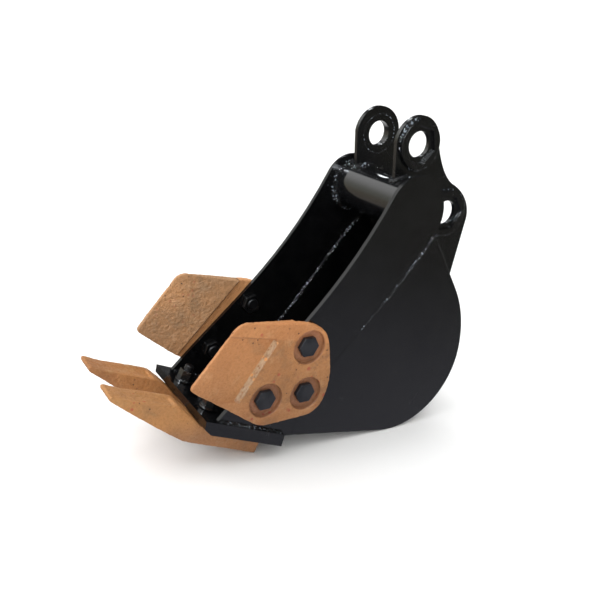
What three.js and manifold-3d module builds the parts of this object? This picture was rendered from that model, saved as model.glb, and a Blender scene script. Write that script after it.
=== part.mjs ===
// A narrow trenching bucket for a mini excavator, as an assembly of welded and bolted pieces.
// Millimetres, +Z up. The mouth and the teeth face -X, the width runs along Y, and the bucket
// rests on the ground (z = 0) on the curve of its shell and on the heels of its two teeth.
import * as THREE from "three";
import { mergeVertices } from "three/addons/utils/BufferGeometryUtils.js";
import Module from "manifold-3d";

const wasm = await Module();
wasm.setup();

// ---- driving dimensions ----
const GAP = 0.3; // clearance between neighbouring pieces
const DEG = Math.PI / 180;

const BODY_HALF = 70; // outer faces of the side plates, either side of the middle
const SIDE_T = 5; // side bars and side plates
const WRAP_T = 5; // rolled shell
const INNER_HALF = BODY_HALF - SIDE_T; // inner faces of the side plates

// Shell section: a straight floor, the rolled heel, a wider bend, and a straight back.
const HEEL_ARC = { x: 149.5, z: 99.8, r: 106.3, from: -101.4, to: 0 };
const BACK_ARC = { x: 88.8, z: 99.8, r: 167, from: 0, to: 36.2 };
const FLOOR_RUN = 166.3; // straight floor in front of the heel
const BACK_RUN = 115.8; // straight back above the back arc, up to the tube
const SIDE_BACK_RUN = 95.7; // how far up the straight back the side plates reach

// Side bars: a strip along each side of the mouth. Its round top end is a little tighter in front.
const BAR_END = { x: 124.4, z: 304.6, r: 48 };
const BAR_TOP = { x: 126, z: 311, r: 43.6 };
// The seam between bar and plate is a cubic curve; on the right it bows out a little more.
const SEAM_TOP = { x: 163.3, z: 276.5 };
const SEAM_FOOT = { x: -14, z: 70 };
const SEAM_BOW = {
  left: [[111.3, 198.4], [72, 169.8]],
  right: [[126.8, 258.2], [65.3, 148.3]],
};

const TUBE = { x: 128.6, z: 312.2, r: 31.75, wall: 8 };

// Ears: the two hinge plates with two pin bores each.
const EAR_T = 5.5;
const EAR_LEFT_Y = -36; // outer face of the left ear
const EAR_RIGHT_Y = 48.5; // outer face of the right ear
const PIN = { r: 16.5, sleeve: 25.5, disc: 31, proud: 5 };
const HEX_POCKET = { across: 43, depth: 4.5 };
const PIN_HOLES = [
  { name: "front", x: 142.7, z: 385.8, turn: -14 },
  { name: "rear", x: 211.4, z: 296, turn: 4 },
];

// Lip: a thick plate that slopes down to the rear. Its own frame runs u rearward, v upward.
const LIP = { x: -144.8, z: 78.2, slope: 22.5, length: 119.5, t: 16, half: 75 };

const TOOTH = { pitch: 71.8, width: 36, tip: 32, reach: 112 };
const TOOTH_BOLT = {
  r: 6, hole: 6.5, across: 18, at: [22.5, 60.5], head: 7, flange: 2.6, nut: 15.6, proud: 7.4,
};

const CUTTER = { base: BODY_HALF + 0.4, t: 11 };
// The cutter's blade is thicker than its bolted flange and bends outward ahead of a shoulder:
// `reach` mm ahead of it the outer face stands `flare` mm further out, and the inner face, which
// is at `inner` at the shoulder, leaves an edge `tip` mm thick.
const BLADE = {
  low: [-115.8, 95.5], high: [-36.1, 186.3], inner: 65.5, flare: 3, tip: 4.4, reach: 66,
};
const CUTTER_BOLT = {
  r: 8, hole: 8.8, across: 24, head: 6, nut: 6.5, proud: 2, recess: 22, sunk: 6.5,
};
const CHAMFER = 1.4; // at the ends of the bolts' shanks
const CUTTER_HOLES = [
  { x: -18, z: 153.5 },
  { x: -15.5, z: 90.8 },
  { x: -71.5, z: 92.6 },
];

const paint = { color: 0x121314, roughness: 0.25, metalness: 0.1 };
const primer = { color: 0xbf7f4a, roughness: 0.75, metalness: 0.0 };
const steel = { color: 0x2a2e36, roughness: 0.4, metalness: 0.8 };

// ---- helpers ----
const bucket = new THREE.Group();

function addPiece(name, geometry, look) {
  const mesh = new THREE.Mesh(geometry, new THREE.MeshStandardMaterial(look));
  mesh.name = name;
  bucket.add(mesh);
}

function toSolid(geometry) {
  const bare = geometry.index ? geometry.toNonIndexed() : geometry.clone();
  bare.deleteAttribute("normal");
  bare.deleteAttribute("uv");
  const merged = mergeVertices(bare, 1e-4);
  return new wasm.Manifold(
    new wasm.Mesh({
      numProp: 3,
      vertProperties: merged.attributes.position.array,
      triVerts: new Uint32Array(merged.index.array),
    }),
  );
}

function toGeometry(solid) {
  const mesh = solid.getMesh();
  const geometry = new THREE.BufferGeometry();
  geometry.setAttribute("position", new THREE.BufferAttribute(mesh.vertProperties, 3));
  geometry.setIndex(new THREE.BufferAttribute(mesh.triVerts, 1));
  geometry.computeVertexNormals();
  return geometry;
}

// The base geometry with every tool cut away.
function cut(base, tools) {
  return toGeometry(tools.reduce((s, t) => s.subtract(toSolid(t)), toSolid(base)));
}

function join(parts) {
  return toGeometry(parts.map(toSolid).reduce((a, b) => a.add(b)));
}

// A flat plate: an outline in x, z that fills y from y0 to y1.
function plate(shape, y0, y1, curveSegments = 12) {
  const geometry = new THREE.ExtrudeGeometry(shape, {
    depth: y1 - y0,
    bevelEnabled: false,
    curveSegments,
  });
  return geometry.rotateX(Math.PI / 2).translate(0, y1, 0);
}

// A round bar or cutting tool across the bucket, along Y.
function crossBar(x, z, r, y0, y1, segments = 36) {
  return new THREE.CylinderGeometry(r, r, y1 - y0, segments).translate(x, (y0 + y1) / 2, z);
}

// A hexagonal prism along Y with a corner turned `turn` degrees up from +X.
function crossHex(x, z, across, y0, y1, turn = 0) {
  return new THREE.CylinderGeometry(across / Math.sqrt(3), across / Math.sqrt(3), y1 - y0, 6)
    .rotateY((90 - turn) * DEG)
    .translate(x, (y0 + y1) / 2, z);
}

// The point on an arc at an angle in degrees, `inset` mm in from it.
function onArc(arc, angle, inset = 0) {
  const r = arc.r - inset;
  return new THREE.Vector2(arc.x + r * Math.cos(angle * DEG), arc.z + r * Math.sin(angle * DEG));
}

// The straight back above the back arc: `run` mm up it, `inset` mm in from its outer face.
function onBack(run, inset = 0) {
  const a = BACK_ARC.to * DEG;
  return onArc(BACK_ARC, BACK_ARC.to, inset).add(
    new THREE.Vector2(-Math.sin(a) * run, Math.cos(a) * run),
  );
}

// The straight floor in front of the heel, `run` mm forward, `inset` mm up from below.
function onFloor(run, inset = 0) {
  const a = HEEL_ARC.from * DEG;
  return onArc(HEEL_ARC, HEEL_ARC.from, inset).add(
    new THREE.Vector2(Math.sin(a) * run, -Math.cos(a) * run),
  );
}

// Follows the shell's bends from the floor to the back on a path, or the other way round.
function followShell(path, inset, backwards = false) {
  const arcs = [HEEL_ARC, BACK_ARC];
  if (backwards) arcs.reverse();
  const first = onArc(arcs[0], backwards ? arcs[0].to : arcs[0].from, inset);
  path.lineTo(first.x, first.y);
  for (const { x, z, r, from, to } of arcs) {
    const [a, b] = backwards ? [to, from] : [from, to];
    path.absarc(x, z, r - inset, a * DEG, b * DEG, backwards);
  }
}

// The lip's own frame: u mm rearward from its front top edge, v mm above its top face.
function onLip(u, v) {
  const a = LIP.slope * DEG;
  return new THREE.Vector2(
    LIP.x + u * Math.cos(a) + v * Math.sin(a),
    LIP.z - u * Math.sin(a) + v * Math.cos(a),
  );
}

// Places a geometry made around the Z axis so that its Z runs along the lip's v at (u, y, v).
function standOnLip(geometry, u, y, v) {
  const p = onLip(u, v);
  return geometry.rotateY(LIP.slope * DEG).translate(p.x, y, p.y);
}

const polygon = (points) => new THREE.Shape(points);

// ---- shell, tube and lip ----
function wrapper() {
  const outline = new THREE.Shape();
  const start = onFloor(FLOOR_RUN);
  outline.moveTo(start.x, start.y);
  followShell(outline, 0);
  for (const p of [onBack(BACK_RUN), onBack(BACK_RUN, WRAP_T)]) outline.lineTo(p.x, p.y);
  followShell(outline, WRAP_T, true);
  const end = onFloor(FLOOR_RUN, WRAP_T);
  outline.lineTo(end.x, end.y);
  return plate(outline, -INNER_HALF + GAP, INNER_HALF - GAP, 9);
}

function torqueTube() {
  const reach = INNER_HALF - GAP;
  return cut(crossBar(TUBE.x, TUBE.z, TUBE.r, -reach, reach, 40), [
    crossBar(TUBE.x, TUBE.z, TUBE.r - TUBE.wall, -reach - 1, reach + 1, 20),
  ]);
}

function lip() {
  const section = polygon([
    onLip(0, 0),
    onLip(3, -10.2),
    onLip(14.2, -LIP.t),
    onLip(LIP.length + 3, -LIP.t),
    onLip(LIP.length, 0),
  ]);
  const holes = toothPlaces().flatMap(({ y }) =>
    TOOTH_BOLT.at.map((u) => boltHole(u, y, TOOTH_BOLT.hole, -LIP.t - 2, 2)),
  );
  return cut(plate(section, -LIP.half, LIP.half), holes);
}

// ---- side bars and side plates ----
function seamCurve(side, shift) {
  const [a, b] = SEAM_BOW[side];
  return new THREE.CubicBezierCurve(
    new THREE.Vector2(SEAM_TOP.x + shift, SEAM_TOP.z),
    new THREE.Vector2(a[0] + shift, a[1]),
    new THREE.Vector2(b[0] + shift, b[1]),
    new THREE.Vector2(SEAM_FOOT.x + shift, SEAM_FOOT.z),
  );
}

// The mouth edge from the lip up to the round end.
const MOUTH = new THREE.CubicBezierCurve(
  new THREE.Vector2(-127, 71.4),
  new THREE.Vector2(-56, 147.8),
  new THREE.Vector2(24.7, 205.8),
  new THREE.Vector2(87.2, 330.8),
);

function sideBar(side) {
  const outline = new THREE.Shape();
  const foot = onFloor(FLOOR_RUN - 14);
  const onLipTop = (x) => onLip((x - LIP.x) / Math.cos(LIP.slope * DEG), GAP);
  const lipEnd = onLip(LIP.length + GAP, 0);
  outline.moveTo(MOUTH.v0.x, MOUTH.v0.y);
  outline.lineTo(onLipTop(lipEnd.x).x, onLipTop(lipEnd.x).y + 0.1);
  outline.lineTo(lipEnd.x + GAP, onFloor(FLOOR_RUN).y);
  outline.lineTo(foot.x, foot.y);
  outline.lineTo(SEAM_FOOT.x, SEAM_FOOT.z);
  const seam = seamCurve(side, 0).getPoints(12).reverse();
  for (const p of seam) outline.lineTo(p.x, p.y);
  const startAngle = Math.atan2(SEAM_TOP.z - BAR_END.z, SEAM_TOP.x - BAR_END.x);
  const endAngle = Math.atan2(MOUTH.v3.y - BAR_TOP.z, MOUTH.v3.x - BAR_TOP.x);
  outline.absarc(BAR_END.x, BAR_END.z, BAR_END.r, startAngle, 30 * DEG, false);
  outline.absarc(BAR_TOP.x, BAR_TOP.z, BAR_TOP.r, 40 * DEG, endAngle, false);
  for (const p of MOUTH.getPoints(14).reverse()) outline.lineTo(p.x, p.y);
  const bolts = CUTTER_HOLES.map(({ x, z }) =>
    crossBar(x, z, CUTTER_BOLT.hole, INNER_HALF - 1, BODY_HALF + 1, 16),
  );
  return cut(plate(outline, INNER_HALF, BODY_HALF, 10), bolts);
}

function sidePlate(side) {
  const outline = new THREE.Shape();
  const foot = onFloor(FLOOR_RUN - 14 - GAP);
  outline.moveTo(foot.x, foot.y);
  followShell(outline, 0);
  const top = onBack(SIDE_BACK_RUN);
  outline.lineTo(top.x, top.y);
  for (const p of seamCurve(side, GAP * 1.4).getPoints(12)) outline.lineTo(p.x, p.y - GAP);
  return plate(outline, INNER_HALF, BODY_HALF, 9);
}

// ---- ears and pin bosses ----
function earPlate(y0, y1) {
  const outline = new THREE.Shape();
  const lobe = { x: 141.5, z: 385.8, r: 35.4 };
  const round = TUBE.r + GAP;
  const foot = 119.5 * DEG;
  outline.moveTo(TUBE.x + round * Math.cos(foot), TUBE.z + round * Math.sin(foot));
  const chin = onArc(lobe, 176);
  outline.lineTo(chin.x, chin.y);
  outline.absarc(lobe.x, lobe.z, lobe.r, 176 * DEG, 0, true);
  outline.bezierCurveTo(183, 372, 193.5, 347, 213.6, 335.5);
  outline.bezierCurveTo(234, 327.5, 254.4, 310, 254.2, 287);
  const heel = onArc(BACK_ARC, 25, -GAP);
  outline.lineTo(heel.x, heel.y);
  outline.absarc(BACK_ARC.x, BACK_ARC.z, BACK_ARC.r + GAP, 25 * DEG, BACK_ARC.to * DEG, false);
  const top = onBack(BACK_RUN + 0.5, -GAP);
  outline.lineTo(top.x, top.y);
  const under = Math.atan2(top.y - TUBE.z, top.x - TUBE.x);
  outline.absarc(TUBE.x, TUBE.z, round, under, foot, false);
  const sleeves = PIN_HOLES.map(({ x, z }) => crossBar(x, z, PIN.sleeve + GAP, y0 - 1, y1 + 1, 30));
  return cut(plate(outline, y0, y1, 9), sleeves);
}

// A pin boss: a disc on the ear's outer face, and a sleeve through the ear that ends flush with
// its inner face. The left discs have a hexagonal pocket for the head of the pin's bolt. `out` is
// -1 on the left ear and 1 on the right.
function pinBoss({ x, z, turn }, faceY, out) {
  const span = (a, b) => [faceY + out * a, faceY + out * b].sort((p, q) => p - q);
  const disc = crossBar(x, z, PIN.disc, ...span(GAP / 2, PIN.proud), 32);
  const sleeve = crossBar(x, z, PIN.sleeve, ...span(-EAR_T, 1), 26);
  const bore = crossBar(x, z, PIN.r, ...span(-EAR_T - 2, PIN.proud + 2), 28);
  const solid = toSolid(disc).add(toSolid(sleeve)).subtract(toSolid(bore));
  if (out > 0) return toGeometry(solid);
  const pocket = crossHex(
    x, z, HEX_POCKET.across, ...span(PIN.proud - HEX_POCKET.depth, PIN.proud + 2), turn,
  );
  return toGeometry(solid.subtract(toSolid(pocket)));
}

// ---- teeth ----
function toothPlaces() {
  return [
    { name: "left", y: -TOOTH.pitch / 2 },
    { name: "right", y: TOOTH.pitch / 2 },
  ];
}

function boltHole(u, y, r, v0, v1) {
  const bar = new THREE.CylinderGeometry(r, r, v1 - v0, 16).rotateX(Math.PI / 2);
  return standOnLip(bar, u, y, (v0 + v1) / 2);
}

function hexOnLip(u, y, across, v0, v1) {
  const r = across / Math.sqrt(3);
  const hex = new THREE.CylinderGeometry(r, r, v1 - v0, 6).rotateX(Math.PI / 2);
  return standOnLip(hex, u, y, (v0 + v1) / 2);
}

// A tooth: a chisel nose in front of the lip and a shank bolted under it.
function tooth(y) {
  const under = -LIP.t - GAP;
  const section = polygon([
    onLip(-TOOTH.reach, -2.2),
    onLip(-TOOTH.reach + 2, -6.4),
    onLip(-68.5, -20),
    onLip(-38.5, -29.3),
    onLip(-4.5, -39),
    onLip(12, -39.8),
    onLip(105.5, -40.9),
    onLip(105.5, under),
    onLip(13.8, under),
    onLip(1.6, -10.6),
    onLip(-7, -6.8),
    onLip(-17, -2.5),
    onLip(-24, 0.3),
    onLip(-50, 0),
    onLip(-88, -1.8),
    onLip(-TOOTH.reach + 2, -0.8),
  ]);
  const blank = plate(section, -TOOTH.width / 2, TOOTH.width / 2);
  // The nose narrows a little towards its tip.
  const position = blank.attributes.position;
  for (let i = 0; i < position.count; i++) {
    const ahead = THREE.MathUtils.clamp((onLip(0, 0).x - position.getX(i)) / TOOTH.reach, 0, 1);
    const width = THREE.MathUtils.lerp(TOOTH.width, TOOTH.tip, ahead);
    position.setY(i, (position.getY(i) * width) / TOOTH.width);
  }
  // A shallow dish along the top face, and two bolt holes with sunk heads below.
  const dish = new THREE.CylinderGeometry(34, 34, 62, 32).rotateZ(Math.PI / 2);
  const tools = [standOnLip(dish, -59, 0, 31.7)];
  for (const u of TOOTH_BOLT.at) {
    tools.push(boltHole(u, 0, TOOTH_BOLT.hole, -45, -10));
    tools.push(boltHole(u, 0, TOOTH_BOLT.across / 2 + 3, -45, under - 13));
  }
  return cut(blank, tools).translate(0, y, 0);
}

// The chamfered end of a bolt's shank: it points to -Y and its end face is at y = 0.
function shankEnd(r) {
  return new THREE.CylinderGeometry(r, r - CHAMFER, CHAMFER, 16).translate(0, CHAMFER / 2, 0);
}

// Bolt from under the shank up through the lip; the head sits in the shank's pocket.
function toothBolt(u, y) {
  const seat = -LIP.t - 13 - 2 * GAP;
  const end = TOOTH_BOLT.nut + TOOTH_BOLT.proud;
  return join([
    hexOnLip(u, y, TOOTH_BOLT.across, seat - TOOTH_BOLT.head, seat),
    boltHole(u, y, TOOTH_BOLT.r, seat - 1, end - CHAMFER),
    standOnLip(shankEnd(TOOTH_BOLT.r).rotateX(-Math.PI / 2), u, y, end),
  ]);
}

// A tall nut on a round flange.
function toothNut(u, y) {
  const { r, across, flange, nut } = TOOTH_BOLT;
  const blank = join([hexOnLip(u, y, across, GAP, nut), boltHole(u, y, across / 2 + 3, GAP, flange)]);
  return cut(blank, [boltHole(u, y, r + 0.25, -2, nut + 2)]);
}

// ---- side cutters (built on the +Y side, mirrored for the left) ----
function cutterOutline() {
  const s = new THREE.Shape();
  s.moveTo(-167, 123.6);
  s.quadraticCurveTo(-172, 127.3, -167.8, 132.8);
  s.lineTo(-124.2, 189.6);
  s.quadraticCurveTo(-117.2, 198.7, -106, 197.6);
  s.lineTo(-40, 186.6);
  s.bezierCurveTo(-20, 185, 0, 180, 6.5, 165);
  s.bezierCurveTo(10.5, 157, 15.5, 136, 18.2, 112);
  s.bezierCurveTo(19.5, 84, 10, 58.8, -14, 58.8);
  s.lineTo(-68, 58.6);
  s.quadraticCurveTo(-79, 58.9, -91, 68.2);
  s.lineTo(-167, 123.6);
  return s;
}

const SHOULDER_LENGTH = Math.hypot(BLADE.high[0] - BLADE.low[0], BLADE.high[1] - BLADE.low[1]);
const UP_SHOULDER = [0, 1].map((k) => (BLADE.high[k] - BLADE.low[k]) / SHOULDER_LENGTH);

// How far the outer face stands out at x, z because of the blade's outward bend.
function flareAt(x, z) {
  const ahead = (z - BLADE.low[1]) * UP_SHOULDER[0] - (x - BLADE.low[0]) * UP_SHOULDER[1];
  return (BLADE.flare * Math.max(0, ahead)) / BLADE.reach;
}

// A bar along the cutter's shoulder whose section is given as points (ahead of the shoulder, y).
function alongShoulder(points) {
  const up = new THREE.Vector3(UP_SHOULDER[0], 0, UP_SHOULDER[1]);
  const forward = new THREE.Vector3(-up.z, 0, up.x);
  const place = new THREE.Matrix4()
    .makeBasis(forward, new THREE.Vector3(0, 1, 0), up.clone().negate())
    .setPosition(new THREE.Vector3(BLADE.low[0], 0, BLADE.low[1]).addScaledVector(up, 300));
  const section = polygon(points.map(([ahead, y]) => new THREE.Vector2(ahead, y)));
  return new THREE.ExtrudeGeometry(section, { depth: 500, bevelEnabled: false })
    .applyMatrix4(place);
}

// What is cut from the inner side of a cutter: all of it behind the shoulder, and the space
// inboard of the blade's sloping inner face.
function cutterInside(face) {
  const slope = (face + BLADE.flare - BLADE.tip - BLADE.inner) / BLADE.reach;
  return alongShoulder([
    [-200, 40], [150, 40], [150, BLADE.inner + slope * 150], [0, BLADE.inner],
    [0, CUTTER.base], [-200, CUTTER.base],
  ]);
}

// What is cut from the outer side: everything outboard of the flange and of the bent blade.
function cutterOutside(face) {
  const out = face + (BLADE.flare / BLADE.reach) * 150;
  return alongShoulder([[-200, face], [0, face], [150, out], [150, 120], [-200, 120]]);
}

// A wedge-shaped recess on the outer face: full depth at its rear step, nothing at the edge.
function cutterRecess(face) {
  const corners = [
    [-135, 187, 0.2], [-66, 171.5, 4.6], [-66, 164, 4.6], [-110, 99, 4.6], [-150, 108, 0.2],
  ];
  const top = corners.map(([x, z]) => [x, face + 6, z]);
  const floor = corners.map(([x, z, depth]) => [x, face + flareAt(x, z) - depth, z]);
  const n = corners.length;
  const vertices = [...top, ...floor].flat();
  const faces = [];
  for (let i = 1; i < n - 1; i++) {
    faces.push(0, i, i + 1);
    faces.push(n, n + i + 1, n + i);
  }
  for (let i = 0; i < n; i++) {
    const j = (i + 1) % n;
    faces.push(i, n + i, j, j, n + i, n + j);
  }
  const geometry = new THREE.BufferGeometry();
  geometry.setAttribute("position", new THREE.Float32BufferAttribute(vertices, 3));
  geometry.setIndex(faces);
  return geometry;
}

function sideCutter() {
  const face = CUTTER.base + CUTTER.t;
  const seat = face - CUTTER_BOLT.sunk;
  const body = toSolid(plate(cutterOutline(), BLADE.inner - 1, face + BLADE.flare + 1, 8));
  const tools = [cutterInside(face), cutterOutside(face), cutterRecess(face)];
  for (const { x, z } of CUTTER_HOLES) {
    tools.push(crossBar(x, z, CUTTER_BOLT.hole, CUTTER.base - 1, face + 5, 16));
    tools.push(crossBar(x, z, CUTTER_BOLT.recess, seat, face + 5, 24));
  }
  return toGeometry(tools.reduce((solid, tool) => solid.subtract(toSolid(tool)), body));
}

function cutterBolt({ x, z }) {
  const seat = CUTTER.base + CUTTER.t - CUTTER_BOLT.sunk + GAP;
  const end = INNER_HALF - GAP - CUTTER_BOLT.nut - CUTTER_BOLT.proud;
  return join([
    crossHex(x, z, CUTTER_BOLT.across, seat, seat + CUTTER_BOLT.head, 0),
    crossBar(x, z, CUTTER_BOLT.r, end + CHAMFER, seat + 1, 16),
    shankEnd(CUTTER_BOLT.r).translate(x, end, z),
  ]);
}

function cutterNut({ x, z }) {
  const y1 = INNER_HALF - GAP;
  const y0 = y1 - CUTTER_BOLT.nut;
  return cut(crossHex(x, z, CUTTER_BOLT.across, y0, y1, 14), [
    crossBar(x, z, CUTTER_BOLT.r + 0.25, y0 - 1, y1 + 1, 16),
  ]);
}

// The same piece on the other side of the bucket's middle plane.
function mirrored(geometry) {
  const copy = geometry.index ? geometry.toNonIndexed() : geometry.clone();
  const p = copy.attributes.position;
  for (let i = 0; i < p.count; i += 3) {
    for (let k = 0; k < 3; k++) p.setY(i + k, -p.getY(i + k));
    const [x, y, z] = [p.getX(i + 1), p.getY(i + 1), p.getZ(i + 1)];
    p.setXYZ(i + 1, p.getX(i + 2), p.getY(i + 2), p.getZ(i + 2));
    p.setXYZ(i + 2, x, y, z);
  }
  const out = new THREE.BufferGeometry();
  out.setAttribute("position", p);
  out.computeVertexNormals();
  return out;
}

function addPair(name, geometry, look) {
  addPiece(`${name}_right`, geometry, look);
  addPiece(`${name}_left`, mirrored(geometry), look);
}

// ---- the assembly ----
addPiece("wrapper", wrapper(), paint);
addPiece("torque_tube", torqueTube(), paint);
addPiece("lip_plate", lip(), paint);
for (const [name, make] of [["side_bar", sideBar], ["side_plate", sidePlate]]) {
  addPiece(`${name}_right`, make("right"), paint);
  addPiece(`${name}_left`, mirrored(make("left")), paint);
}

addPiece("ear_left", earPlate(EAR_LEFT_Y, EAR_LEFT_Y + EAR_T), paint);
addPiece("ear_right", earPlate(EAR_RIGHT_Y - EAR_T, EAR_RIGHT_Y), paint);
for (const hole of PIN_HOLES) {
  addPiece(`pin_boss_${hole.name}_left`, pinBoss(hole, EAR_LEFT_Y, -1), paint);
  addPiece(`pin_boss_${hole.name}_right`, pinBoss(hole, EAR_RIGHT_Y, 1), paint);
}

addPair("side_cutter", sideCutter(), primer);
CUTTER_HOLES.forEach((hole, i) => {
  addPair(`cutter_bolt_${i + 1}`, cutterBolt(hole), steel);
  addPair(`cutter_nut_${i + 1}`, cutterNut(hole), paint);
});

for (const { name, y } of toothPlaces()) {
  addPiece(`tooth_${name}`, tooth(y), primer);
  TOOTH_BOLT.at.forEach((u, i) => {
    addPiece(`tooth_bolt_${i + 1}_${name}`, toothBolt(u, y), steel);
    addPiece(`tooth_nut_${i + 1}_${name}`, toothNut(u, y), paint);
  });
}

// At rest the bucket leans forward a little, until both teeth's heels and the shell touch the
// ground together. The origin is then on the ground, midway between the foremost and rearmost.
const toothHeel = onLip(105.5, -40.9);
const toHeel = [HEEL_ARC.x - toothHeel.x, HEEL_ARC.z - toothHeel.y];
const TILT = Math.asin(HEEL_ARC.r / Math.hypot(...toHeel)) - Math.atan2(toHeel[1], toHeel[0]);
for (const piece of bucket.children) piece.geometry.rotateY(-TILT);
const box = new THREE.Box3().setFromObject(bucket);
const middle = box.getCenter(new THREE.Vector3());
for (const piece of bucket.children) piece.geometry.translate(-middle.x, 0, -box.min.z);

export default bucket;
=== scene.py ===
"""Looks for a narrow trenching bucket: gloss black weldment, primed castings, weld beads, studio.

Metres, +Z up. The mouth and teeth face -X and the width runs along Y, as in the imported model.
"""

import math
import random

import bmesh
import bpy
from mathutils import Matrix, Vector, noise


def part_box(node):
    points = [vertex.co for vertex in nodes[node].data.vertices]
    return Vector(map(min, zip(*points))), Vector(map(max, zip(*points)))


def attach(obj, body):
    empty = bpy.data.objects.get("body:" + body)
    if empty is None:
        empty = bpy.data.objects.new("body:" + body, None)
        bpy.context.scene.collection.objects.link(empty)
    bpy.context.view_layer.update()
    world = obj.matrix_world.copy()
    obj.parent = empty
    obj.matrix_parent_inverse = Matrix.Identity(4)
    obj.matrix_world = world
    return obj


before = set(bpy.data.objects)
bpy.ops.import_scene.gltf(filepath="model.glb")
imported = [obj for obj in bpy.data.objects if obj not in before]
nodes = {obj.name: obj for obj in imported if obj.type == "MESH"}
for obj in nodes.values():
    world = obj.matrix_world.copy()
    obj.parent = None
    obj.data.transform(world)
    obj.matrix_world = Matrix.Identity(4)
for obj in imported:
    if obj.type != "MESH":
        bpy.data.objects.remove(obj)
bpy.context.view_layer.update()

MM = 0.001

# ---- the weldment's layout, in millimetres, before the bucket leans forward to rest ----
TUBE_X, TUBE_Z, TUBE_R = 128.6, 312.2, 31.75
INNER, OUTER = 65.0, 70.0  # inner and outer faces of the side plates
# The shell's outer face: two arcs, each with its centre, radius and angles in degrees.
HEEL = {"x": 149.5, "z": 99.8, "r": 106.3, "from": -101.4, "to": 0.0}
BACK = {"x": 88.8, "z": 99.8, "r": 167.0, "from": 0.0, "to": 36.2}
BACK_RUN = 113.0  # the straight stretch above the back's arc
FLOOR_RUN = 166.3  # the straight stretch in front of the heel's arc
LIP = {"x": -144.8, "z": 78.2, "slope": 22.5, "length": 119.5}
SEAM = {  # the lines between side bar and side plate, as cubic curves
    "left": [(163.3, 276.5), (111.3, 198.4), (72.0, 169.8), (-14.0, 70.0)],
    "right": [(163.3, 276.5), (126.8, 258.2), (65.3, 148.3), (-14.0, 70.0)],
}
EARS = {"left": (-36.0, -30.5), "right": (43.0, 48.5)}  # each ear's two faces
PINS = {"front": (142.7, 385.8), "rear": (211.4, 296.0)}
BOSS_R, SLEEVE_R = 31.0, 25.5
CUTTER_HOLES = [(-18.0, 153.5), (-15.5, 90.8), (-71.5, 92.6)]
COUNTERBORE_R = 22.0
# A cutter's recess: the step at its back and its upper and lower edges.
RECESS_STEP = [(-66.0, 168.0), (-110.0, 99.0)]
RECESS_TOP = [(-135.0, 187.0), (-66.0, 171.5)]
RECESS_FOOT = [(-110.0, 99.0), (-150.0, 108.0)]
SHOULDER = [(-115.8, 95.5), (-36.1, 186.3)]  # where the cutters' blades meet their flanges
LEAN = math.radians(1.777)  # how far the frame leans forward of the layout
SIGNS = {"left": -1, "right": 1}  # the side of the middle plane, along Y


def leant(x, y, z):
    """A direction of the layout, turned as the bucket stands in the frame."""
    c, s = math.cos(LEAN), math.sin(LEAN)
    return Vector((x * c - z * s, y, x * s + z * c))


tube_low, tube_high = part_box("torque_tube")
ORIGIN = (tube_low + tube_high) / 2 - leant(TUBE_X, 0, TUBE_Z) * MM


def at(x, y, z):
    """A point of the layout, in metres in the frame."""
    return ORIGIN + leant(x, y, z) * MM


def on_plane(point, y=0):
    """The layout point (x, z), taken at y, in metres in the frame."""
    return at(point[0], y, point[1])


# ---- materials ----
class Nodes:
    """Short calls for building a node tree."""

    def __init__(self, tree):
        self.tree = tree

    def node(self, kind, **values):
        made = self.tree.nodes.new(kind)
        for key, value in values.items():
            setattr(made, key, value)
        return made

    def link(self, source, target):
        self.tree.links.new(source, target)

    def feed(self, target, value):
        """Links an output to a socket, or sets the socket to a number, a vector or a colour tuple."""
        if isinstance(value, bpy.types.NodeSocket):
            self.link(value, target)
        elif isinstance(value, tuple):
            target.default_value = (*value, 1.0)
        else:
            target.default_value = value

    def spread(self, value, low, high, to_low=0.0, to_high=1.0):
        """Takes low to to_low and high to to_high, smoothly; low may be the larger one."""
        made = self.node("ShaderNodeMapRange", interpolation_type="SMOOTHSTEP")
        numbers = {"From Min": low, "From Max": high, "To Min": to_low, "To Max": to_high}
        for key, number in numbers.items():
            made.inputs[key].default_value = number
        self.link(value, made.inputs["Value"])
        return made.outputs["Result"]

    def maths(self, how, a, b=0):
        made = self.node("ShaderNodeMath", operation=how)
        self.feed(made.inputs[0], a)
        self.feed(made.inputs[1], b)
        return made.outputs["Value"]

    def times(self, a, b):
        return self.maths("MULTIPLY", a, b)

    def mix(self, amount, a, b, how="MIX"):
        """Colour a, which turns to colour b as the amount rises to 1."""
        made = self.node("ShaderNodeMix", data_type="RGBA", blend_type=how)
        sockets = [socket for socket in made.inputs if socket.enabled]
        for socket, value in zip(sockets, (amount, a, b)):
            self.feed(socket, value)
        return next(socket for socket in made.outputs if socket.enabled)


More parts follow.
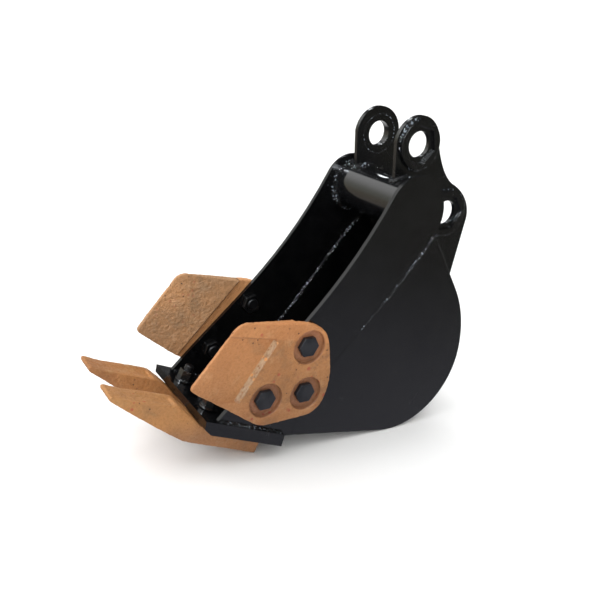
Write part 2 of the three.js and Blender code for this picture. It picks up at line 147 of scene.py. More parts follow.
class Graph(Nodes):
    """A material, with textures in the frame's metres."""

    def __init__(self, name):
        self.material = bpy.data.materials.new(name)
        self.material.use_nodes = True
        super().__init__(self.material.node_tree)
        self.place = self.node("ShaderNodeTexCoord").outputs["Object"]

    def give(self, socket, value):
        self.feed(self.tree.nodes["Principled BSDF"].inputs[socket], value)

    def noise(self, scale, detail=2.0, rough=0.5, distortion=0.0):
        made = self.node("ShaderNodeTexNoise")
        numbers = {"Scale": scale, "Detail": detail, "Roughness": rough, "Distortion": distortion}
        for key, number in numbers.items():
            made.inputs[key].default_value = number
        self.link(self.place, made.inputs["Vector"])
        return made.outputs["Fac"]

    def dots(self, scale, edge, core):
        """A mask of scattered dots, 1 within `core` of a cell's centre and 0 beyond `edge`."""
        made = self.node("ShaderNodeTexVoronoi")
        made.inputs["Scale"].default_value = scale
        self.link(self.place, made.inputs["Vector"])
        return self.spread(made.outputs["Distance"], edge, core)

    def axis(self, letter):
        parts = self.node("ShaderNodeSeparateXYZ")
        self.link(self.place, parts.inputs[0])
        return parts.outputs[letter]

    def vectors(self, how, a, b, out):
        made = self.node("ShaderNodeVectorMath", operation=how)
        self.feed(made.inputs[0], a)
        self.feed(made.inputs[1], b)
        return made.outputs[out]

    def beyond(self, point, way):
        """How far a place lies beyond a point, along the direction `way`."""
        shifted = self.vectors("SUBTRACT", self.place, point, "Vector")
        return self.vectors("DOT_PRODUCT", shifted, way, "Value")

    def bump(self, height, distance, strength=1.0, under=None):
        made = self.node("ShaderNodeBump")
        made.inputs["Distance"].default_value = distance
        made.inputs["Strength"].default_value = strength
        self.link(height, made.inputs["Height"])
        if under is not None:
            self.link(under, made.inputs["Normal"])
        return made.outputs["Normal"]


def streak(g, start, end, half, soft):
    """A mask, 1 within `half` mm of the line between two layout points (x, z), fading over `soft`."""
    a, b = on_plane(start), on_plane(end)
    ahead = (b - a).normalized()
    side = Vector((-ahead.z, 0, ahead.x))
    reach = (b - a).length / 2
    from_middle = g.maths("ABSOLUTE", g.maths("SUBTRACT", g.beyond(a, ahead), reach))
    within = g.spread(from_middle, reach + soft * MM, reach)
    across = g.spread(g.maths("ABSOLUTE", g.beyond(a, side)), (half + soft) * MM, half * MM)
    return g.times(within, across)


def beside(g, start, end, soft=1.5):
    """A mask, 1 on the side of a line between two layout points that lies to the right of it."""
    a, b = on_plane(start), on_plane(end)
    ahead = (b - a).normalized()
    return g.spread(g.beyond(a, Vector((ahead.z, 0, -ahead.x))), -soft * MM, soft * MM)


def annulus(g, centre, inner, outer, soft=0.6):
    """A mask, 1 between two radii (mm) round an axis along Y through the layout point (x, z)."""
    flat = g.vectors("MULTIPLY", g.place, Vector((1, 0, 1)), "Vector")
    away = g.vectors("DISTANCE", flat, on_plane(centre), "Value")
    past_inner = g.spread(away, (inner - soft) * MM, inner * MM)
    return g.times(past_inner, g.spread(away, (outer + soft) * MM, outer * MM))


def height(g, low, high):
    """0 below the layout height `low` and 1 above `high`, in millimetres."""
    return g.spread(g.axis("Z"), at(0, 0, low).z, at(0, 0, high).z)


def black_paint(name, rough=(0.10, 0.2), peel=1.0, dusty=1.0, dull_edges=False):
    """Gloss black enamel: faint orange peel, slow waves in the gloss, smears and a little dust.

    dull_edges makes the cut edges of the side bars, between their two faces, less shiny.
    """
    deep, thin = (0.0018, 0.0020, 0.0025), (0.0036, 0.0038, 0.0042)
    hazed, smeared, dusted = (0.0062, 0.0064, 0.0068), (0.017, 0.0175, 0.019), (0.11, 0.11, 0.108)
    shine, cut_shine = 0.85, 0.42
    edge_start, edge_full = 0.1, 0.6  # mm inside a bar's faces, where the dull edge fades in

    g = Graph(name)
    slow, medium, fine = g.noise(7.0, 3.0), g.noise(48.0, 4.0), g.noise(420.0, 2.0)
    dust = g.times(g.dots(130.0, 0.06, 0.025), g.spread(g.noise(19.0), 0.6, 0.7))
    smear = g.spread(g.noise(26.0, 5.0, 0.62, 1.4), 0.60, 0.78, 0.0, 0.5 * dusty)

    tone = g.mix(g.spread(medium, 0.3, 0.7), deep, thin)
    tone = g.mix(g.spread(slow, 0.35, 0.75, 0.0, 0.6), tone, hazed)
    tone = g.mix(smear, tone, smeared)
    g.give("Base Color", g.mix(g.times(dust, 0.75 * dusty), tone, dusted))

    waves = g.maths("ADD", g.spread(slow, 0.3, 0.7, *rough), g.spread(medium, 0.3, 0.7, 0.0, 0.05))
    gloss = g.maths("ADD", waves, g.times(smear, 0.25))
    g.give("Roughness", g.maths("ADD", gloss, g.times(dust, 0.4)))

    g.give("Specular IOR Level", shine)
    if dull_edges:
        across = g.maths("ABSOLUTE", g.axis("Y"))
        past_inner = g.spread(across, (INNER + edge_start) * MM, (INNER + edge_full) * MM)
        past_outer = g.spread(across, (OUTER - edge_start) * MM, (OUTER - edge_full) * MM)
        cut = g.times(past_inner, past_outer)
        g.give("Specular IOR Level", g.spread(cut, 0.0, 1.0, shine, cut_shine))

    wave = g.bump(g.noise(16.0, 1.0), 0.0006 * peel, 0.3)
    g.give("Normal", g.bump(fine, 0.00006 * peel, 0.5, wave))
    return g.material


def weld_paint():
    """The same enamel over weld beads: glossier and rippled, with painted glints: pale flecks on the
    ripples.
    """
    deep, thin, glint_tint = (0.002, 0.0022, 0.003), (0.010, 0.0115, 0.014), (0.29, 0.34, 0.40)
    g = Graph("painted_weld")
    tone = g.mix(g.spread(g.noise(90.0, 3.0), 0.35, 0.65), deep, thin)
    # Painted glints: pale blue-white flecks in the colour of the ripples.
    flecks = g.times(g.spread(g.noise(330.0), 0.57, 0.64), g.spread(g.noise(60.0), 0.42, 0.55))
    g.give("Base Color", g.mix(flecks, tone, glint_tint))
    g.give("Roughness", g.spread(g.noise(200.0), 0.3, 0.7, 0.04, 0.12))
    g.give("Specular IOR Level", 1.0)
    ripples = g.bump(g.noise(300.0), 0.0045)
    g.give("Normal", g.bump(g.noise(760.0), 0.0014, under=ripples))
    return g.material


def counterbores(g, tone):
    """The left cutter's recessed bolt holes: floors and walls darkened with painted shade and a rusty
    tint, and a mask of what lies round.
    """
    shaded_floor_tint, ring_tint, shaded_wall_tint = (0.33, 0.125, 0.072), (0.50, 0.23, 0.12), (0.40, 0.17, 0.06)
    # Inner and outer radius, and how softly the mask ends.
    floor_ring = (15.0, 18.0, 1.2)
    wall = (COUNTERBORE_R - 1.8, COUNTERBORE_R + 0.6)
    halo = (15, 29, 4)
    around = 0
    for centre in CUTTER_HOLES:
        # Painted shade, rust-tinted, on each counterbore's floor and wall.
        tone = g.mix(g.times(annulus(g, centre, 0, COUNTERBORE_R), 0.62), tone, shaded_floor_tint)
        tone = g.mix(g.times(annulus(g, centre, *floor_ring), 0.35), tone, ring_tint)
        tone = g.mix(g.times(annulus(g, centre, *wall), 0.5), tone, shaded_wall_tint)
        around = g.maths("MAXIMUM", annulus(g, centre, *halo), around)
    return tone, around


def recess(g, tone):
    """The left cutter's recess, a little darker with painted shade and sooty, with a painted shadow along
    its top edge, and a mask of the step behind it, painted pale as chipped primer with a painted
    highlight.
    """
    shaded, top_shadow_tint, soot_tint = (0.84, 0.86, 0.84), (0.26, 0.11, 0.05), (0.25, 0.12, 0.055)
    chipped_and_lit_tint, amber_spot_highlight = (0.60, 0.42, 0.26), (0.85, 0.36, 0.09)
    inside = g.times(beside(g, *RECESS_STEP[::-1]), beside(g, *RECESS_TOP))
    inside = g.times(inside, beside(g, *RECESS_FOOT))
    tone = g.mix(g.times(inside, 0.8), tone, shaded, "MULTIPLY")
    # Painted shadow: a dark line under the recess's top edge.
    tone = g.mix(g.times(streak(g, *RECESS_TOP, 0.7, 0.8), 0.35), tone, top_shadow_tint)
    soot = g.times(inside, g.spread(g.noise(62.0, 4.0, 0.7), 0.5, 0.66, 0.0, 0.5))
    tone = g.mix(soot, tone, soot_tint)
    # The step behind the recess is painted pale: chipped primer and a painted highlight, with amber spots.
    chips_in_highlight = g.spread(g.noise(230.0, 4.0, 0.75), 0.32, 0.54)
    step = g.times(streak(g, *RECESS_STEP, 1.9, 1.8), chips_in_highlight)
    tone = g.mix(g.times(step, 0.75), tone, chipped_and_lit_tint)
    tone = g.mix(g.times(g.times(step, g.dots(110.0, 0.3, 0.2)), 0.8), tone, amber_spot_highlight)
    return tone, step


def primer(name, light, dark, stain, grit=1.0, stains=1.0, details=False, darker_below=None, shoulder=None):
    """Matt tan primer over a rough casting, with pits, rust-red specks and stains.

    details adds what only the left side cutter shows: a pale step behind its recess, chipped primer
    with a painted highlight, and counterbores darkened with painted shade and flecked red. darker_below
    is a tint and the two heights between which it fades out upwards, making the casting darker towards
    the bottom. shoulder is the line behind which the right cutter's flange shows oranger primer, partly
    painted highlight, with a painted shadow along the line.
    """
    greyed = tuple(c * k for c, k in zip(dark, (0.62, 0.82, 1.05)))
    shadowed, worn = tuple(c * 0.5 for c in dark), tuple(min(1, c * 1.25) for c in light)
    pitted, rusty = (0.05, 0.022, 0.014), (0.40, 0.055, 0.03)
    flange_orange_and_highlight, shoulder_shadow_tint = (0.66, 0.305, 0.115), (0.10, 0.045, 0.022)

    g = Graph(name)
    cloud, patch = g.noise(11.0, 4.0, 0.6), g.noise(52.0, 5.0, 0.65)
    grain, sand = g.noise(300.0, 4.0, 0.65), g.noise(900.0, 2.0)
    pit = g.times(g.dots(150.0, 0.2, 0.08), g.spread(g.noise(29.0, 2.0), 0.55, 0.63))
    red = g.times(g.dots(120.0, 0.3, 0.16), g.spread(g.noise(20.0, 3.0), 0.59, 0.66))

    tone = g.mix(g.spread(cloud, 0.32, 0.68), light, dark)
    tone = g.mix(g.spread(patch, 0.52, 0.74, 0.0, 0.55), tone, stain)
    tone = g.mix(g.spread(g.noise(23.0, 4.0, 0.6, 0.8), 0.56, 0.72, 0.0, 0.4), tone, greyed)
    tone = g.mix(g.spread(grain, 0.38, 0.78, 0.0, 0.35), tone, shadowed)
    tone = g.mix(g.spread(grain, 0.40, 0.25, 0.0, 0.22), tone, worn)
    tone = g.mix(g.times(pit, 0.9), tone, pitted)
    if details:
        tone, around = counterbores(g, tone)
        flecks = g.times(g.dots(75.0, 0.26, 0.14), g.spread(g.noise(34.0, 1.0), 0.50, 0.58))
        red = g.maths("MAXIMUM", red, g.times(flecks, around))
        tone, step = recess(g, tone)
    tone = g.mix(g.times(red, 0.75 * stains), tone, rusty)
    if shoulder is not None:
        # Oranger primer on the flange, partly a painted highlight, and a painted shadow along the shoulder
        # line.
        flange = g.times(beside(g, *shoulder), g.spread(cloud, 0.2, 0.5, 0.3, 0.8))
        tone = g.mix(flange, tone, flange_orange_and_highlight)
        tone = g.mix(g.times(streak(g, *shoulder, 0.8, 0.9), 0.75), tone, shoulder_shadow_tint)
    # Darker towards the bottom: a tint that fades out upwards between two heights.
    if darker_below is not None:
        tint, low, high = darker_below
        tone = g.mix(g.maths("SUBTRACT", 1.0, height(g, low, high)), tone, tint, "MULTIPLY")
    g.give("Base Color", tone)
    g.give("Roughness", g.spread(grain, 0.3, 0.7, 0.46, 0.72))
    g.give("Specular IOR Level", 0.4)

    relief = g.bump(patch, 0.0030 * grit, 0.6)
    relief = g.bump(grain, 0.0014 * grit, 0.85, relief)
    relief = g.bump(sand, 0.0003 * grit, 0.6, relief)
    if details:
        relief = g.bump(step, 0.0009, 0.7, relief)
    g.give("Normal", g.bump(g.times(pit, -1.0), 0.0009, 0.9, relief))
    return g.material


def dark_steel():
    """Satin blue-black oxide on the bolts, and black paint on their ends inside the bucket."""
    deep, thin = (0.013, 0.0145, 0.019), (0.027, 0.028, 0.034)
    worn, painted = (0.07, 0.055, 0.045), (0.0035, 0.0037, 0.0045)
    g = Graph("oxide_bolt")
    wear = g.noise(240.0, 4.0, 0.6)
    tone = g.mix(g.spread(g.noise(60.0, 3.0), 0.35, 0.65), deep, thin)
    tone = g.mix(g.spread(wear, 0.62, 0.75, 0.0, 0.5), tone, worn)
    inside = g.spread(g.maths("ABSOLUTE", g.axis("Y")), OUTER * MM, INNER * MM)
    g.give("Base Color", g.mix(inside, tone, painted))
    g.give("Metallic", 0.2)
    g.give("Roughness", g.spread(wear, 0.3, 0.7, 0.32, 0.5))
    g.give("Normal", g.bump(g.noise(700.0), 0.00012, 0.6))
    return g.material


paint = black_paint("gloss_black")
bar_paint = black_paint("gloss_black_bars", dull_edges=True)
ear_paint = black_paint("gloss_black_ears", rough=(0.14, 0.24))
tube_paint = black_paint("gloss_black_tube", rough=(0.03, 0.07), peel=0.5, dusty=0.6)
nut_paint = black_paint("gloss_black_nuts", rough=(0.18, 0.3), peel=0.6, dusty=0.3)
bead_paint = weld_paint()
bolt_steel = dark_steel()
CAST_LOOK = {
    "side_cutter_left": primer(
        "primer_cutter_left", light=(0.575, 0.25, 0.088), dark=(0.465, 0.19, 0.064),
        stain=(0.635, 0.34, 0.155), details=True, darker_below=((0.66, 0.68, 0.72), 60, 190),
    ),
    "side_cutter_right": primer(
        "primer_cutter_right", light=(0.54, 0.275, 0.115), dark=(0.37, 0.20, 0.09),
        stain=(0.58, 0.35, 0.19), grit=1.6, stains=0.3, shoulder=SHOULDER,
    ),
    "tooth_left": primer(
        "primer_tooth_left", light=(0.52, 0.235, 0.072), dark=(0.38, 0.18, 0.064),
        stain=(0.52, 0.29, 0.11), grit=1.2, darker_below=((0.72, 0.74, 1.0), 35, 70),
    ),
    "tooth_right": primer(
        "primer_tooth_right", light=(0.46, 0.205, 0.062), dark=(0.35, 0.147, 0.05),
        stain=(0.48, 0.295, 0.12), grit=1.3,
    ),
}


def dress(obj, material):
    obj.data.materials.clear()
    obj.data.materials.append(material)


# ---- the CAD nodes: rounded edges on plate and bolts, a cast skin on the castings ----
def join(obj):
    """Joins the faces where their corners meet."""
    points = obj.modifiers.new("join", "WELD")
    points.merge_threshold = 0.002 * MM


def soften(obj, width):
    """Joins the faces, merges the flat ones and rounds the sharp edges."""
    for face in obj.data.polygons:
        face.use_smooth = True
    join(obj)
    flat = obj.modifiers.new("flat", "DECIMATE")
    flat.decimate_type = "DISSOLVE"
    flat.angle_limit = math.radians(0.5)
    edge = obj.modifiers.new("edge", "BEVEL")
    edge.width = width * MM
    edge.segments = 2
    edge.limit_method = "ANGLE"
    edge.angle_limit = math.radians(28)
    edge.harden_normals = False
    shade = obj.modifiers.new("shade", "WEIGHTED_NORMAL")
    shade.keep_sharp = False
    shade.weight = 80


def cast_skin(obj, lumps):
    """A closed skin with rounded edges and the shallow lumps of a sand casting."""
    join(obj)
    skin = obj.modifiers.new("skin", "REMESH")
    skin.mode = "VOXEL"
    skin.voxel_size = 1.0 * MM
    skin.use_smooth_shade = True
    relax = obj.modifiers.new("relax", "SMOOTH")
    relax.factor = 0.6
    relax.iterations = 5
    for name, size, depth in lumps:
        clouds = bpy.data.textures.new(f"{obj.name}_{name}", "CLOUDS")
        clouds.noise_scale = size * MM
        clouds.noise_depth = 2
        push = obj.modifiers.new(name, "DISPLACE")
        push.texture = clouds
        push.texture_coords = "LOCAL"
        push.strength = depth * MM
        push.mid_level = 0.5


# A part of a piece's name, its look, and how far its edges are rounded, in millimetres. The
# first match counts.
FINISH = (
    ("bolt", bolt_steel, 0.8),
    ("nut", nut_paint, 1.0),
    ("side_bar", bar_paint, 0.5),
    ("torque_tube", tube_paint, 0.7),
    ("pin_boss", ear_paint, 0.5),
    ("ear", ear_paint, 0.5),
    ("lip_plate", paint, 0.9),
    ("side_plate", paint, 0.4),
    ("wrapper", paint, 0.7),
)
for name, node in nodes.items():
    if name in CAST_LOOK:
        dress(node, CAST_LOOK[name])
        coarse = name == "side_cutter_right"
        cast_skin(node, (("lumps", 14.0, 0.9), ("grain", 4.2, 1.05) if coarse else ("grain", 3.4, 0.65)))
    else:
        look, rounding = next((look, width) for part, look, width in FINISH if part in name)
        dress(node, look)
        soften(node, rounding)


# ---- lines for the weld beads to follow ----
def cubic(points, t):
    a, b, c, d = (Vector(p) for p in points)
    u = 1 - t
    return a * u**3 + b * 3 * u * u * t + c * 3 * u * t * t + d * t**3


def seam_line(side, y, start, length):
    """Points down a stretch of a side's seam, whose whole length counts as 1."""
    count = 40
    curve = [cubic(SEAM[side], start + i / count * length) for i in range(count + 1)]
    return [on_plane(p, y) for p in curve]


def ring(centre, r, y, start=0.0, stop=360.0, step=3.0):
    """Points round an axis along Y, from one angle to another in degrees."""
    x, z = centre
    count = max(2, int(abs(stop - start) / step))
    turns = [math.radians(start + (stop - start) * i / count) for i in range(count + 1)]
    points = [at(x + r * math.cos(a), y, z + r * math.sin(a)) for a in turns]
    return points[:-1] if abs(stop - start) >= 360 else points


def on_back(run, out=0.0):
    """A point (x, z) up the straight back of the shell, `out` mm outside its outer face."""
    a = math.radians(BACK["to"])
    r = BACK["r"] + out
    return (
        BACK["x"] + r * math.cos(a) - run * math.sin(a),
        BACK["z"] + r * math.sin(a) + run * math.cos(a),
    )


def on_lip(run, up):
    """A point (x, z) `run` mm behind the lip's front top edge and `up` mm off its top face."""
    a = math.radians(LIP["slope"])
    return (
        LIP["x"] + run * math.cos(a) + up * math.sin(a),
        LIP["z"] - run * math.sin(a) + up * math.cos(a),
    )


def on_tube(out, degrees):
    """A point (x, z) round the torque tube, `out` mm outside it."""
    a = math.radians(degrees)
    return TUBE_X + (TUBE_R + out) * math.cos(a), TUBE_Z + (TUBE_R + out) * math.sin(a)


def shell_line(inset, y):
    """The shell's section line from the floor's front edge to the top of its back."""
    a = math.radians(HEEL["from"])
    r = HEEL["r"] - inset
    foot = (
        HEEL["x"] + r * math.cos(a) + math.sin(a) * FLOOR_RUN,
        HEEL["z"] + r * math.sin(a) - math.cos(a) * FLOOR_RUN,
    )
    points = [on_plane(foot, y)]
    for arc in (HEEL, BACK):
        points += ring((arc["x"], arc["z"]), arc["r"] - inset, y, arc["from"], arc["to"])
    return points + [on_plane(on_back(BACK_RUN, -inset), y)]


def along(points, step):
    """Points every `step` metres along a polyline."""
    out, carry = [points[0].copy()], 0.0
    for a, b in zip(points, points[1:]):
        length = (b - a).length
        reach = step - carry
        while reach <= length:
            out.append(a.lerp(b, reach / length))
            reach += step
        carry = length - (reach - step)
    return out


# ---- weld beads ----
BEAD_STEP = 0.7  # mm from one ring of a bead to the next
BEAD_SIDES = 10
SWELL, LUMP = 0.35, 0.08  # shares by which a bead's radius varies along it and round it
PACE = 0.09  # how fast the slow swelling runs along a bead, in noise lengths per mm
END_RINGS = 3.0  # rings over which a bead's end rounds off
LEAST = 0.05  # keeps a bead's last rings from shrinking to nothing


def join_rings(mesh, near, far, shift=0):
    """Faces between two rings of points, either of which may be a single point."""
    sides = max(len(near), len(far))
    for k in range(sides):
        n = (k + 1) % sides
        corners = [near[k % len(near)], near[n % len(near)]]
        corners += [far[(n + shift) % len(far)], far[(k + shift) % len(far)]]
        mesh.faces.new(list(dict.fromkeys(corners)))


def taper(i, count, fade):
    """The share of its radius that an open bead has at ring i of count."""
    left = count - 1 - i
    share = math.sqrt(min(1.0, i / END_RINGS + LEAST, left / END_RINGS + LEAST))
    if fade and i > count * (1 - fade):
        share *= max(LEAST, left / (count * fade))
    return share


def bead(name, points, radius, seed, ripple=0.14, wander=0.25, pitch=3.0, closed=False, fade=0.0):
    """A painted weld bead along a line of points; ripples, swellings and wander come from noise.

    radius, wander and pitch are in millimetres. fade is the share of the line over which the far
    end sinks away to nothing.
    """
    step = BEAD_STEP * MM
    path = along(points + [points[0]] if closed else points, step)
    if closed and (path[-1] - path[0]).length < step * 0.6:
        path.pop()
    count = len(path)
    mesh = bmesh.new()
    rings = []
    for i, centre in enumerate(path):
        before = path[(i - 1) % count] if closed or i else path[0]
        after = path[(i + 1) % count] if closed or i < count - 1 else path[-1]
        ahead = (after - before).normalized()
        side = ahead.orthogonal().normalized()
        other = ahead.cross(side)
        s = i * step / MM
        # The other factors of the noise keep one value from repeating another.
        key = Vector((s * PACE, seed * 7.3, 0.0))
        phase = s / pitch + 0.6 * noise.noise(key * 3)
        wave = 1 - 2 * abs(math.sin(math.pi * phase))
        swell = 1 + SWELL * noise.noise(key * 1.7) + ripple * wave
        r = radius * MM * swell * (1.0 if closed else taper(i, count, fade))
        drift = Vector(noise.noise(key + Vector((0, 0, 5.1 * k))) for k in (1, 2, 3)) * (wander * MM)
        rings.append([])
        for k in range(BEAD_SIDES):
            turn = 2 * math.pi * k / BEAD_SIDES
            rough = 1 + LUMP * noise.noise(Vector((s * 0.5, k * 0.9, seed)))
            out = (side * math.cos(turn) + other * math.sin(turn)) * r * rough
            rings[-1].append(mesh.verts.new(centre + drift + out))
    for near, far in zip(rings, rings[1:]):
        join_rings(mesh, near, far)
    if closed:
        # The last ring meets the first at the turn of it that lies closest.
        last, first = rings[-1], rings[0]
        shift = min(range(BEAD_SIDES), key=lambda q: (last[0].co - first[q].co).length)
        join_rings(mesh, last, first, shift)
    else:
        mesh.faces.new(rings[0])
        mesh.faces.new(list(reversed(rings[-1])))
    return finish_weld(name, mesh)


def finish_weld(name, mesh):
    """Makes the painted object of a bead or of the spatter."""
    bmesh.ops.recalc_face_normals(mesh, faces=mesh.faces)
    data = bpy.data.meshes.new(name)
    mesh.to_mesh(data)
    mesh.free()
    for face in data.polygons:
        face.use_smooth = True
    data.materials.append(bead_paint)
    obj = bpy.data.objects.new(name, data)
    bpy.context.scene.collection.objects.link(obj)
    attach(obj, "root")
    return obj


# The small numbers beside a radius or a face, in millimetres, set a bead's line off the corner
# that it fills.
BAR_ON_LIP = (21.0, 60.0, 117.0)  # mm behind the lip's front edge, where a side bar stands on it
EAR_ON_TUBE = (122.0, -36.0)  # degrees round the tube between which an ear stands on it
EAR_ON_BACK = (35.0, 25.5)  # the same, round the arc of the shell's back


def weld_sides():
    """The beads of each side: tube, seam, shell and lip."""
    for side, seed in (("left", 1), ("right", 11)):
        sign = SIGNS[side]
        bead(
            f"weld_tube_{side}", ring((TUBE_X, TUBE_Z), TUBE_R + 0.9, sign * (INNER - 0.8)),
            radius=3.1, seed=seed, ripple=0.3, wander=0.8, pitch=4.2, closed=True,
        )
        # The butt weld between side bar and side plate, outside and inside.
        bead(
            f"weld_seam_outer_{side}", seam_line(side, sign * (OUTER - 0.8), 0.0, 0.74),
            radius=2.3, seed=seed + 1, ripple=0.16, wander=0.6, pitch=4.6, fade=0.4,
        )
        bead(
            f"weld_seam_inner_{side}", seam_line(side, sign * (INNER - 0.1), 0.06, 0.88),
            radius=2.4, seed=seed + 2, ripple=0.22, wander=0.9, pitch=4.2,
        )
        # Shell to side plate, inside the corner and a ground run along the outer edge.
        bead(
            f"weld_shell_inner_{side}", shell_line(5.6, sign * (INNER - 0.6)),
            radius=2.2, seed=seed + 3,
        )
        bead(
            f"weld_shell_outer_{side}", shell_line(0.7, sign * (INNER - 0.15)),
            radius=0.95, seed=seed + 4, ripple=0.05, wander=0.1,
        )
        # Side bar to lip, on either side of the bar.
        for n, (face, y) in enumerate((("outer", OUTER + 0.5), ("inner", INNER - 0.5))):
            line = [on_plane(on_lip(run, 0.6), sign * y) for run in BAR_ON_LIP]
            bead(
                f"weld_lip_{face}_{side}", line,
                radius=2.5, seed=seed + 5 + n, ripple=0.2, wander=0.5, pitch=4.0,
            )


def weld_across():
    """The beads across the bucket: lip to shell, and shell to tube."""
    lines = (
        ("weld_lip_shell", on_lip(LIP["length"] + 0.5, -0.6), 31),
        ("weld_tube_shell_outer", on_tube(0.6, -36.0), 34),
        ("weld_tube_shell_inner", on_tube(0.6, -55.0), 33),
    )
    for name, point, seed in lines:
        bead(name, [on_plane(point, 1 - INNER), on_plane(point, INNER - 1)], radius=2.4, seed=seed)


def weld_ear(side, seed):
    """An ear's beads along the tube and the shell's back, and the blob at its front foot."""
    for n, (y, out) in enumerate(zip(EARS[side], (-1, 1)), 1):
        seed += 3
        bead(
            f"weld_ear_tube_{side}_{n}", ring((TUBE_X, TUBE_Z), TUBE_R + 1.0, y + out * 0.9, *EAR_ON_TUBE),
            radius=3.1, seed=seed, ripple=0.22, wander=0.8, pitch=4.8,
        )
        corner = y + out * 0.4
        line = [on_plane(on_back(run, 0.5), corner) for run in (110, 80, 40, 2)]
        line += ring((BACK["x"], BACK["z"]), BACK["r"] + 0.5, corner, *EAR_ON_BACK)
        bead(f"weld_ear_shell_{side}_{n}", line, radius=2.4, seed=seed + 1)
    foot, past = on_plane(on_tube(1.6, 122.5)), 3.5
    line = [Vector((foot.x, y * MM, foot.z)) for y in (EARS[side][0] - past, EARS[side][1] + past)]
    bead(f"weld_ear_foot_{side}", line, radius=3.2, seed=seed + 2, ripple=0.25, wander=0.9, pitch=4.5)


# Where each pin boss is welded to the outer face of its ear, as runs from one angle to another,
# in degrees, and how strongly each ripples. The left bosses are left open between their runs.
BOSS_RUNS = {
    "left": {
        "front": ((100.0, 178.0, 0.24), (186.0, 197.0, 0.1), (247.0, 262.0, 0.1), (256.0, 345.0, 0.05)),
        "rear": ((-80.0, 52.0, 0.2), (78.0, 200.0, 0.2), (238.0, 262.0, 0.1)),
    },
    "right": {"front": ((0.0, 360.0, 0.1),), "rear": ((0.0, 360.0, 0.1),)},
}


def weld_bosses(side, seed):
    """The beads round a side's two pin bosses."""
    sign = SIGNS[side]
    outer, inner = EARS[side] if side == "left" else EARS[side][::-1]
    for pin, centre in PINS.items():
        for n, (start, stop, ripple) in enumerate(BOSS_RUNS[side][pin], 1):
            seed += 1
            bead(
                f"weld_boss_{pin}_{side}_{n}", ring(centre, BOSS_R + 0.6, outer + sign * 0.6, start, stop),
                radius=2.5, seed=seed, ripple=ripple, wander=0.5, pitch=4.2, closed=side == "right",
            )
        # A thin fillet where the boss's sleeve shows on the ear's inner face.
        bead(
            f"weld_sleeve_{pin}_{side}", ring(centre, SLEEVE_R + 0.2, inner + sign * 0.35),
            radius=0.95, seed=seed + 60, ripple=0.06, wander=0.2, pitch=6.0, closed=True,
        )


def droplets(name, places, seed):
    """Spatter: lumps of `size` mm half sunk in a surface, each as rings of points round its axis."""
    mesh = bmesh.new()
    for n, (centre, size) in enumerate(places):
        rings, sides, levels = [], 7, 5
        for i in range(levels + 1):
            polar = math.pi * i / levels
            row = []
            for k in range(sides if 0 < i < levels else 1):
                turn = 2 * math.pi * k / sides
                flat = math.sin(polar)
                way = Vector((flat * math.cos(turn), flat * math.sin(turn), math.cos(polar)))
                lump = 1 + 0.3 * noise.noise(way * 1.3 + Vector((n * 3.7, seed, 0)))
                row.append(mesh.verts.new(centre + way * size * MM * lump))
            rings.append(row)
        for near, far in zip(rings, rings[1:]):
            join_rings(mesh, near, far)
    return finish_weld(name, mesh)


def spatter():
    """Drops round the tube's ends, on the tube, and down the upper end of the inner seams."""
    rng = random.Random(7)
    places = []
    furthest, lowest = 45, 285  # mm from the tube's axis and in height, to stay on the side bar
    for side, sign in SIGNS.items():
        on_side = sign * (INNER - 0.1)
        for _ in range(26):
            turn, far = rng.uniform(0, 2 * math.pi), TUBE_R + rng.uniform(4, 16)
            x, z = TUBE_X + far * math.cos(turn), TUBE_Z + far * math.sin(turn)
            if far < furthest and z > lowest:
                places.append((at(x, on_side, z), rng.uniform(0.4, 0.95)))
        for _ in range(22):
            turn, y = rng.uniform(80, 230), sign * (INNER - rng.uniform(4, 17))
            places.append((on_plane(on_tube(0, turn), y), rng.uniform(0.35, 0.8)))
        for _ in range(26):
            p = cubic(SEAM[side], rng.uniform(0.05, 0.7))
            x, z = p.x + rng.uniform(-9, 9), p.y + rng.uniform(-9, 9)
            places.append((at(x, on_side, z), rng.uniform(0.35, 0.75)))
    droplets("weld_spatter", places, seed=3)


weld_sides()
weld_across()
for side, seed in (("left", 21), ("right", 34)):
    weld_ear(side, seed)
    weld_bosses(side, seed + 6)
spatter()


# ---- stage ----
def lift(name, verts, faces, material):
    data = bpy.data.meshes.new(name)
    data.from_pydata([Vector(v) for v in verts], [], faces)
    data.materials.append(material)
    obj = bpy.data.objects.new(name, data)
    bpy.context.scene.collection.objects.link(obj)
    return obj


def floor_material():
    g = Graph("pale_floor")
    g.give("Base Color", g.mix(g.noise(3.0, 3.0), (0.90, 0.90, 0.90), (0.93, 0.93, 0.925)))
    g.give("Roughness", 0.9)
    g.give("Specular IOR Level", 0.1)
    return g.material


def backdrop_material():
    g = Graph("white_backdrop")
    g.give("Emission Color", g.mix(g.noise(2.0), (0.99, 0.99, 0.99), (1.0, 1.0, 1.0)))
    g.give("Emission Strength", 1.1)
    g.give("Base Color", (0.0, 0.0, 0.0))
    g.give("Roughness", 1.0)
    return g.material


def square(half, z):
    return [(x, y, z) for x, y in ((-half, -half), (half, -half), (half, half), (-half, half))]


floor = lift("floor", square(9, -0.0004), [(0, 1, 2, 3)], floor_material())
floor.visible_glossy = False  # the gloss shows the world's light instead

WALLS = [(0, 1, 5, 4), (1, 2, 6, 5), (2, 3, 7, 6), (3, 0, 4, 7)]
backdrop = lift("backdrop", square(8.9, -1) + square(8.9, 8), WALLS, backdrop_material())
backdrop.visible_glossy = False
backdrop.visible_diffuse = False
backdrop.visible_shadow = False


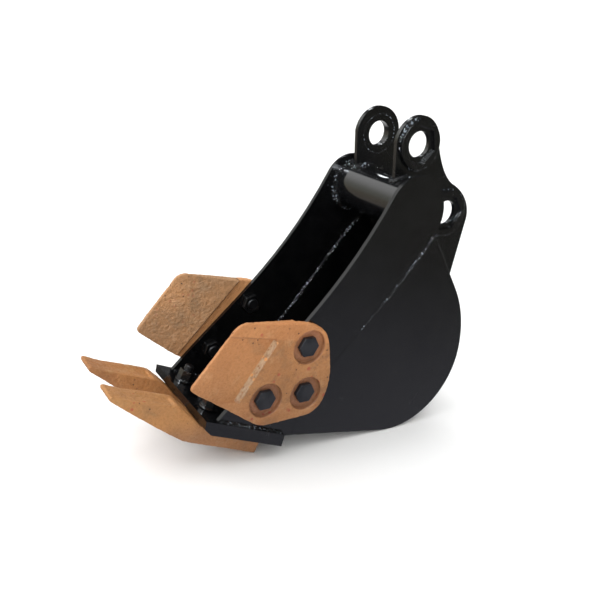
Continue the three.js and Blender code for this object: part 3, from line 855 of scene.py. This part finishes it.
def lamp(name, kind, place, target, energy, color=(1, 1, 1), size=None, spread=None):
    data = bpy.data.lights.new(name, kind)
    data.energy = energy
    data.color = color
    if kind == "AREA":
        data.shape = "RECTANGLE"
        data.size, data.size_y = size
    else:
        data.angle = math.radians(spread)
    obj = bpy.data.objects.new(name, data)
    obj.location = place
    obj.rotation_mode = "QUATERNION"
    obj.rotation_quaternion = (Vector(target) - Vector(place)).to_track_quat("-Z", "Y")
    bpy.context.scene.collection.objects.link(obj)
    return obj


# Very soft, wide sources fill from above, the front left and behind without showing in the gloss.
for name, place, energy in (
    ("top_fill", (0.1, 0.2, 2.0), 1.7),
    ("front_fill", (-1.0, -1.5, 1.25), 2.0),
    ("rear_fill", (1.0, 1.3, 0.9), 0.8),
):
    lamp(name, "SUN", place, (0, 0, 0), energy, spread=80).visible_glossy = False
MIDDLE = (0, 0, 0.25)  # where most lamps aim
lamp("side_softbox", "AREA", (-1.9, 0.15, 1.15), MIDDLE, 7, (0.86, 0.93, 1.0), size=(0.35, 0.6))
# Small strong sources that only put sparkles on the welds and the edges of nuts and bolts.
for name, place in (("glint_left", (-1.7, -0.5, 1.5)), ("glint_front", (-0.6, -1.9, 1.9))):
    glint = lamp(name, "AREA", place, MIDDLE, 40, (0.88, 0.94, 1.0), size=(0.14, 0.14))
    glint.visible_diffuse = False
lamp("rear_softbox", "AREA", (0.5, 1.5, 1.7), (0.1, 0, 0.35), 3, (0.92, 0.96, 1.0), size=(0.3, 0.2))

# The world is the room that the gloss reflects; x, y and z are the direction it is seen in.
world = bpy.data.worlds.new("studio")
bpy.context.scene.world = world
world.use_nodes = True
sky = Nodes(world.node_tree)
axes = sky.node("ShaderNodeSeparateXYZ")
sky.link(sky.node("ShaderNodeTexCoord").outputs["Generated"], axes.inputs[0])
x, y, z = (axes.outputs[k] for k in "XYZ")
DARK, WHITE = (0.05, 0.05, 0.055), (1.2, 1.2, 1.2)
# Behind and to the left the light falls from white overhead to brown near the floor, then to dark.
left = sky.mix(sky.spread(z, 0.12, 0.58), (0.72, 0.73, 0.63), (1.6, 1.6, 1.6))
left = sky.mix(sky.spread(z, 0.17, -0.12), left, (0.50, 0.45, 0.35))
left = sky.mix(sky.spread(z, -0.12, -0.3), left, (0.43, 0.38, 0.32))
left = sky.mix(sky.spread(z, -0.34, -0.42), left, DARK)
# Behind and to the right it is dark above the horizon and white below it.
right = sky.mix(sky.spread(z, -0.05, 0.08), WHITE, DARK)
behind = sky.mix(sky.spread(x, -0.20, -0.13), left, right)
# The camera's side is dim, and a little paler low down.
front = sky.mix(sky.spread(z, -0.2, -0.48), (0.105, 0.102, 0.085), (0.265, 0.265, 0.305))
around = sky.mix(sky.spread(y, -0.35, 0.1), front, behind)
sky.link(around, world.node_tree.nodes["Background"].inputs["Color"])
world.node_tree.nodes["Background"].inputs["Strength"].default_value = 1.0
bpy.context.scene.view_settings.view_transform = "Standard"

# ---- camera: from the left front, a little above, some 0.9 m away ----
RIGHT = leant(0.83566, -0.53790, 0.11104).normalized()
FORWARD = leant(0.53783, 0.76040, -0.36405).normalized()
EYE = at(-453.77, -665.52, 497.04)
camera_data = bpy.data.cameras.new("camera")
camera_data.sensor_width = 36.0
camera_data.lens = 40.66
camera = bpy.data.objects.new("camera", camera_data)
basis = Matrix((RIGHT, RIGHT.cross(FORWARD), -FORWARD)).transposed()
camera.matrix_world = Matrix.Translation(EYE) @ basis.to_4x4()
bpy.context.scene.collection.objects.link(camera)
bpy.context.scene.camera = camera
